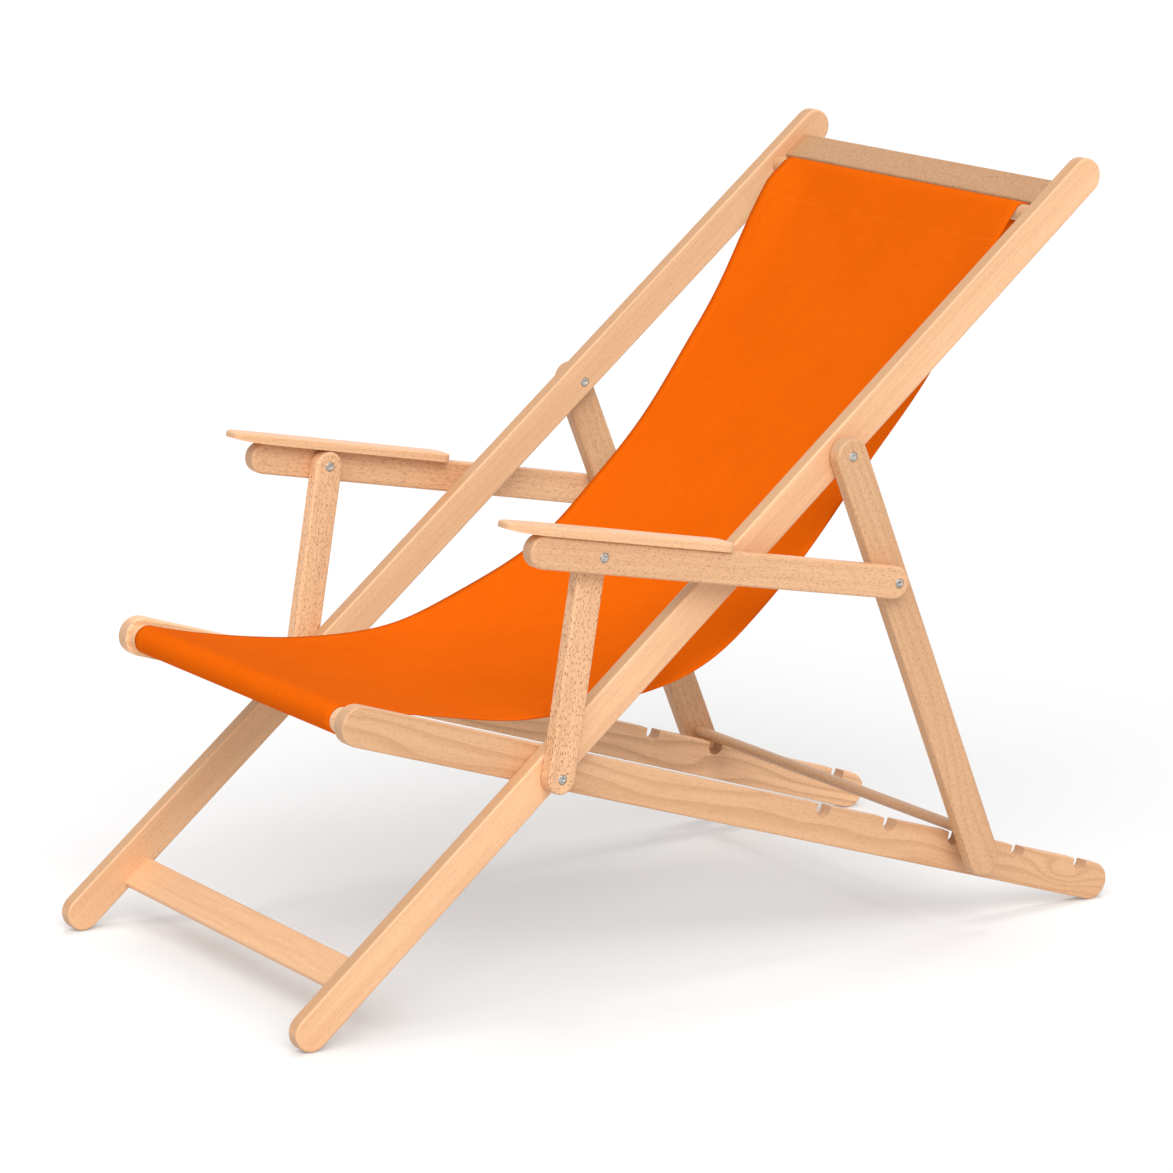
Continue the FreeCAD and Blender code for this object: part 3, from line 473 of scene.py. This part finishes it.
rod = middle_of("sling_rod")
bar = middle_of("front_bar")
rail_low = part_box("main_rail_left")[0]
foot = Vector((rail_low.y + MAIN_WIDTH / 2.0, rail_low.z + MAIN_WIDTH / 2.0))
rail_slope = math.degrees(main_slope)
low_point = foot + turned((LOW_ALONG, -LOW_DROP), rail_slope)
bend_centre = low_point + polar(BEND_RADIUS, rail_slope + 90.0)
back_angle = rail_slope - 90.0 + BACK_TURN
back_point = bend_centre + polar(BEND_RADIUS, back_angle)
back_normal = polar(1.0, back_angle + 180.0)
seat_angle = rail_slope - 90.0 - BEND_TURN
seat_point = bend_centre + polar(BEND_RADIUS, seat_angle)
seat_normal = polar(1.0, seat_angle + 180.0)


def tangent_radius(point, normal, centre, wrap):
    """Radius of the arc that leaves a point square to its normal and lies on a bar."""
    away = point - centre
    return (wrap ** 2 - away.length_squared) / (2.0 * (away.dot(normal) - wrap))


back_radius = tangent_radius(back_point, back_normal, rod, ROD_WRAP)
back_centre = back_point + back_normal * back_radius
seat_radius = tangent_radius(seat_point, seat_normal, bar, BAR_WRAP)
seat_centre = seat_point + seat_normal * seat_radius
rod_meet = angle_of(back_centre - rod)
bar_meet = angle_of(seat_centre - bar)


def arc(centre, radius, start, end):
    """Points along an arc, without its first one; an arc round a bar has a count of its own."""
    count = max(3, math.ceil(abs(math.radians(end - start)) * radius / STEP))
    if radius < BAR_LIMIT:
        count = BAR_STEPS
    return [centre + polar(radius, start + (end - start) * (k + 1) / count) for k in range(count)]


def hem(centre, wrap, meet, turn, cloth_centre, cloth_radius, cloth_sign):
    """From the sewn end of a hem round its bar to where the cloth leaves the bar.
    The flap lies under the cloth, a little over one thickness further from the cloth's centre."""
    under = cloth_radius + FLAP_GAP
    seam_angle = meet + 180.0 + cloth_sign * math.degrees(SEAM / cloth_radius)
    flap_angle = seam_angle + cloth_sign * math.degrees(FLAP / cloth_radius)
    sewn = (seam_angle - flap_angle) / FLAP_STEPS
    flap = [cloth_centre + polar(under, flap_angle + sewn * k) for k in range(FLAP_STEPS + 1)]
    away = flap[-1] - centre
    lean = math.degrees(math.acos(wrap / away.length))
    leave = angle_of(away) + turn * lean
    while turn * (meet - leave) < 0.0:
        leave -= turn * 360.0
    run = centre + polar(wrap, leave)
    straight = [flap[-1].lerp(run, (k + 1) / FLAP_STEPS) for k in range(FLAP_STEPS)]
    return flap + straight + arc(centre, wrap, leave, meet)


top_hem = hem(rod, ROD_WRAP, rod_meet, 1.0, back_centre, back_radius, -1.0)
front_hem = hem(bar, BAR_WRAP, bar_meet, -1.0, seat_centre, seat_radius, 1.0)
line = list(top_hem)
line += arc(back_centre, back_radius, rod_meet + 180.0, back_angle + 360.0)
line += arc(bend_centre, BEND_RADIUS, back_angle, seat_angle)
line += arc(seat_centre, seat_radius, seat_angle, bar_meet - 180.0)
line += list(reversed(front_hem))[1:]
lengths = [0.0]
for first, second in zip(line, line[1:]):
    lengths.append(lengths[-1] + (second - first).length)
cloth_length = lengths[-1]


def line_normal(index):
    before = line[max(index - 1, 0)]
    after = line[min(index + 1, len(line) - 1)]
    way = (after - before).normalized()
    return Vector((-way.y, way.x))


def smooth(value, low, high):
    share = min(max((value - low) / (high - low), 0.0), 1.0)
    return share * share * (3.0 - 2.0 * share)


def swell(value, height, middle, reach):
    """A hump of some height at the middle, fading smoothly to nought a reach away."""
    away = min(abs(value - middle) / reach, 1.0)
    return height * (0.5 + 0.5 * math.cos(math.pi * away))


def run_of(points):
    return sum((second - first).length for first, second in zip(points, points[1:]))


top_free = run_of(top_hem)
front_free = run_of(front_hem)

# Places along the cloth count from where it leaves the rod. A hump is its height, its place and its reach.
HELD_RUN = 0.16
WAIST = (0.0065, 0.35, 0.17)
LAP = (0.013, 0.615, 0.14)
SEAT_DIP = (0.003, 0.84, 0.11)
FRONT_DRAW = 0.008
FRONT_RUN = (0.80, 1.0)
HOLLOW = 0.0035
HOLLOW_LIFT = 0.0012
EDGE_POWER = 10.0
EDGE_ROLL = 0.0010
RIPPLE = 0.0007
RIPPLE_RATE = 31.0
RIPPLE_LEAD = 2.0
FAR_CURL = 0.012
NEAR_CURL = 0.004
CURL_ACROSS = (0.70, 1.0)
CURL_START = (-0.012, 0.032)
CURL_END = (0.045, 0.21)


def cloth_point(index, share, layer):
    """A point of the cloth. Share runs from -1 to 1 across it, layer is its upper or lower face."""
    place = lengths[index]
    run = place - top_free
    left_over = cloth_length - place - front_free
    free = smooth(run, 0.0, HELD_RUN) * smooth(left_over, 0.0, HELD_RUN)
    narrow = swell(run, *WAIST) + FRONT_DRAW * smooth(run, *FRONT_RUN)
    x = (CLOTH_HALF - narrow + swell(run, *LAP)) * share
    edge = abs(share) ** EDGE_POWER
    sag = HOLLOW * (1.0 - share * share) - HOLLOW_LIFT + swell(run, *SEAT_DIP)
    ripple = RIPPLE * edge * math.sin(RIPPLE_RATE * place + RIPPLE_LEAD * share)
    curl = (FAR_CURL if share < 0.0 else NEAR_CURL) * smooth(abs(share), *CURL_ACROSS)
    curl *= smooth(run, *CURL_START) * (1.0 - smooth(run, *CURL_END))
    out = free * (ripple + EDGE_ROLL * edge - sag) + curl + layer * CLOTH_THICK / 2.0
    spot = line[index] - line_normal(index) * out
    return Vector((x, spot.x, spot.y))


def share_of(step):
    return -1.0 + 2.0 * step / SIDE_STEPS


cloth = bmesh.new()
grid = {}
for layer in (1, -1):
    for index in range(len(line)):
        for step in range(SIDE_STEPS + 1):
            grid[layer, index, step] = cloth.verts.new(cloth_point(index, share_of(step), layer))


def patch(corners, flip):
    ring = [grid[corner] for corner in corners]
    cloth.faces.new(ring[::-1] if flip else ring)


last = len(line) - 1
for layer in (1, -1):
    for index in range(last):
        for step in range(SIDE_STEPS):
            corners = ((layer, index, step), (layer, index, step + 1),
                       (layer, index + 1, step + 1), (layer, index + 1, step))
            patch(corners, layer < 0)
for index in range(last):
    for step in (0, SIDE_STEPS):
        corners = ((1, index, step), (1, index + 1, step), (-1, index + 1, step), (-1, index, step))
        patch(corners, step > 0)
for step in range(SIDE_STEPS):
    for index in (0, last):
        corners = ((1, index, step), (1, index, step + 1), (-1, index, step + 1), (-1, index, step))
        patch(corners, index == 0)
bmesh.ops.recalc_face_normals(cloth, faces=cloth.faces)
weave_map = cloth.loops.layers.uv.new("weave")
place_of = {vertex: key for key, vertex in grid.items()}
for face in cloth.faces:
    for corner in face.loops:
        layer, index, step = place_of[corner.vert]
        corner[weave_map].uv = (CLOTH_HALF * share_of(step), lengths[index])
sling_mesh = bpy.data.meshes.new("sling_cloth")
cloth.to_mesh(sling_mesh)
cloth.free()
for face in sling_mesh.polygons:
    face.use_smooth = True
sling = bpy.data.objects.new("sling_cloth", sling_mesh)
scene.collection.objects.link(sling)

THREAD = 0.00062
WARP_SCALE = (900.0, 28.0, 1.0)
WEFT_SCALE = (26.0, 850.0, 1.0)
BROAD_SCALE = (9.0, 9.0, 1.0)
SIDE_HEM = 0.014
HEM_EASE = 0.0004
HEM_ROW = 0.0025
STITCH = 0.0042
STITCH_EDGE = (0.0003, 0.0007)
STITCH_GAP = (-0.35, -0.05)
WEAVE_DEPTH = 0.00025


def canvas(name, seams):
    """Plain-woven cotton canvas: warp and weft, a turned hem along each side and rows of stitches."""
    material, shade, out = empty_material(name)
    uv = shade.node("UVMap", {"uv_map": "weave"}, {})
    across = shade.node("SeparateXYZ", {}, {"Vector": uv}, "X")
    along_cloth = shade.node("SeparateXYZ", {}, {"Vector": uv}, "Y")

    def wave(value, pitch):
        return shade.maths("SINE", value * (2.0 * math.pi / pitch))

    def row(distance):
        return 1.0 - abs(distance).between(*STITCH_EDGE)

    weave = wave(across, 2.0 * THREAD) * wave(along_cloth, 2.0 * THREAD)
    warp = uv.noise(WARP_SCALE, 2.0)
    weft = uv.noise(WEFT_SCALE, 2.0)
    broad = uv.noise(BROAD_SCALE, 3.0)
    from_edge = CLOTH_HALF - abs(across)
    turned_hem = 1.0 - from_edge.between(SIDE_HEM - HEM_EASE, SIDE_HEM + HEM_EASE)
    side_stitches = row(from_edge - (SIDE_HEM - HEM_ROW)) * wave(along_cloth, STITCH).between(*STITCH_GAP)
    seam_rows = 0.0
    for seam in seams:
        seam_rows = row(along_cloth - seam) + seam_rows
    stitches = side_stitches + seam_rows * wave(across, STITCH).between(*STITCH_GAP)
    depth = 0.26 * warp.between(0.35, 0.7) + 0.22 * weft.between(0.35, 0.7) + 0.16 * broad.between(0.35, 0.7)
    colour = depth.mix(CANVAS, CANVAS_SHADE)
    colour = (0.6 * stitches).mix(colour, CANVAS_THREAD)
    height = 0.35 * weave + 0.5 * warp + 0.5 * weft + 1.6 * stitches + 2.2 * turned_hem
    bump = shade.node("Bump", {}, {"Height": height, "Strength": 0.35, "Distance": WEAVE_DEPTH}, "Normal")
    rough = 0.82 + 0.1 * warp
    shader = {"Base Color": colour, "Roughness": rough, "Normal": bump, "Specular IOR Level": 0.01}
    surface = shade.node("BsdfPrincipled", {}, shader)
    shade.tree.links.new(surface.socket, out.inputs["Surface"])
    return material


flap_middle = FLAP / 2.0
top_sewn = top_free + SEAM + flap_middle
front_sewn = cloth_length - front_free - SEAM - flap_middle
seam_places = (flap_middle, top_sewn, front_sewn, cloth_length - flap_middle)
sling_mesh.materials.append(canvas("orange_canvas", seam_places))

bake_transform(sling)
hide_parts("sling")

# The cloth tints neither the rails beside it nor the bolt heads.
sling.visible_diffuse = False
sling.visible_glossy = False

# STUDIO
# A plain white floor, a wide soft light from the front, softer ones from the right, above and behind,
# and an even fill all round. The camera stands where the photograph was taken.
FLOOR_HALF = 30.0
FLOOR_DROP = 0.0005
PLAIN_WHITE = (1.0, 1.0, 1.0, 1.0)
FLOOR_WHITE = (0.72, 0.72, 0.72, 1.0)
FLOOR_GLOW = 0.2
FILL = 0.42
CAMERA_PLACE = (3.99327, -2.70367, 1.44543)
CAMERA_AZIMUTH = 56.0975
CAMERA_ELEVATION = 12.6592
CAMERA_ROLL = 0.8416
PHOTO_SIDE = 1173.0
FOCAL_PIXELS = 4660.47
SENSOR = 36.0
FAR_CLIP = 100.0

floor_mesh = bpy.data.meshes.new("floor")
signs = ((-1.0, -1.0), (1.0, -1.0), (1.0, 1.0), (-1.0, 1.0))
floor_corners = [(FLOOR_HALF * across, FLOOR_HALF * deep, 0.0) for across, deep in signs]
floor_mesh.from_pydata(floor_corners, [], [(0, 1, 2, 3)])
floor = bpy.data.objects.new("floor", floor_mesh)
scene.collection.objects.link(floor)
floor.location.z = -FLOOR_DROP
white, shade, out = empty_material("white_floor")


def shown(shade):
    """One for what the camera sees, straight or in a mirror or through glass."""
    kinds = ("Camera", "Glossy", "Transmission")
    straight, mirrored, through = (shade.node("LightPath", {}, {}, f"Is {kind} Ray") for kind in kinds)
    return shade.maths("MAXIMUM", straight, shade.maths("MAXIMUM", mirrored, through))


matt = shade.node("BsdfDiffuse", {}, {"Color": FLOOR_WHITE})
glow = shade.node("Emission", {}, {"Color": PLAIN_WHITE, "Strength": FLOOR_GLOW})
lifted = shade.node("AddShader", {}, {0: matt, 1: glow})
surface = shade.node("MixShader", {}, {0: shown(shade), 1: matt, 2: lifted})
shade.tree.links.new(surface.socket, out.inputs["Surface"])
floor_mesh.materials.append(white)

world = bpy.data.worlds.new("studio")
scene.world = world
world.use_nodes = True
world.node_tree.nodes.clear()
sky = Shade(world.node_tree)
sky_out = world.node_tree.nodes.new("ShaderNodeOutputWorld")
fill = sky.node("Background", {}, {"Color": PLAIN_WHITE, "Strength": FILL})
backdrop = sky.node("Background", {}, {"Color": PLAIN_WHITE, "Strength": 1.0})
around = sky.node("MixShader", {}, {0: shown(sky), 1: fill, 2: backdrop})
world.node_tree.links.new(around.socket, sky_out.inputs["Surface"])


def soft_light(name, direction, strength, spread):
    """An even light from one direction; spread is how wide it looks, in degrees."""
    lamp = bpy.data.lights.new(name, "SUN")
    lamp.energy = strength
    lamp.angle = math.radians(spread)
    holder = bpy.data.objects.new(name, lamp)
    scene.collection.objects.link(holder)
    holder.location = direction
    holder.rotation_euler = (-Vector(direction)).to_track_quat("-Z", "Y").to_euler()


soft_light("front", (2.2, -2.4, 3.0), 1.60, 55.0)
soft_light("right", (3.2, -0.8, 2.6), 0.95, 34.0)
soft_light("overhead", (-0.45, 0.45, 3.6), 0.62, 14.0)
soft_light("rear", (-2.2, 3.4, 1.9), 0.15, 40.0)

camera = bpy.data.cameras.new("photo_view")
camera.sensor_fit = "HORIZONTAL"
camera.sensor_width = SENSOR
camera.lens = FOCAL_PIXELS / PHOTO_SIDE * SENSOR
camera.clip_end = FAR_CLIP
viewer = bpy.data.objects.new("photo_view", camera)
scene.collection.objects.link(viewer)
azimuth = math.radians(CAMERA_AZIMUTH)
elevation = math.radians(CAMERA_ELEVATION)
roll = math.radians(CAMERA_ROLL)
backward = Vector((math.sin(azimuth) * math.cos(elevation), -math.cos(azimuth) * math.cos(elevation),
                   math.sin(elevation)))
level_right = Vector((math.cos(azimuth), math.sin(azimuth), 0.0))
level_up = level_right.cross(-backward)
right = level_right * math.cos(roll) + level_up * math.sin(roll)
up = level_up * math.cos(roll) - level_right * math.sin(roll)
axes = Matrix((right, up, backward)).transposed()
viewer.matrix_world = Matrix.Translation(CAMERA_PLACE) @ axes.to_4x4()
scene.camera = viewer
scene.view_settings.view_transform = "Standard"
